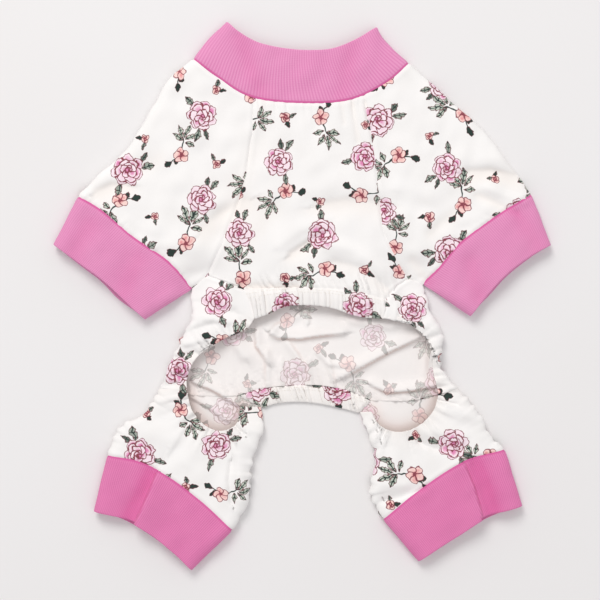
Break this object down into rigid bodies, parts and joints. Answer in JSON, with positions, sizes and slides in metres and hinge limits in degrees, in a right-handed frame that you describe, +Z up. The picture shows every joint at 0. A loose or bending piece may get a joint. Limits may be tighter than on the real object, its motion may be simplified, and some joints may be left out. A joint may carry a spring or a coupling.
{
  "type": "pet pajamas",
  "caption": "Four-legged jersey pajama suit for a small dog, laid flat belly side up, with rib knit collar and cuffs and a gathered elastic belly opening.",
  "frame": {"origin": "underside of the back panel on the surface it lies on, midway across the body and a little toward the tail from the underarms", "axes": "+Z up out of the surface, +Y toward the neck, +X to the right as seen from above"},
  "size_m": [0.3975, 0.438, 0.0128],
  "materials": {
    "printed_jersey": "soft matt ivory cotton jersey with a scattered floral print, paler on its reverse",
    "rib_knit": "matt pink one by one rib knit"
  },
  "bodies": {
    "root": {"collar": "rib_knit", "chest_panel": "printed_jersey", "belly_hem": "printed_jersey", "back_panel": "printed_jersey", "tail_hem": "printed_jersey", "sleeve_left": "printed_jersey", "sleeve_right": "printed_jersey", "front_cuff_left": "rib_knit", "front_cuff_right": "rib_knit", "leg_left": "printed_jersey", "leg_right": "printed_jersey", "hind_cuff_left": "rib_knit", "hind_cuff_right": "rib_knit"}
  },
  "joints": []
}
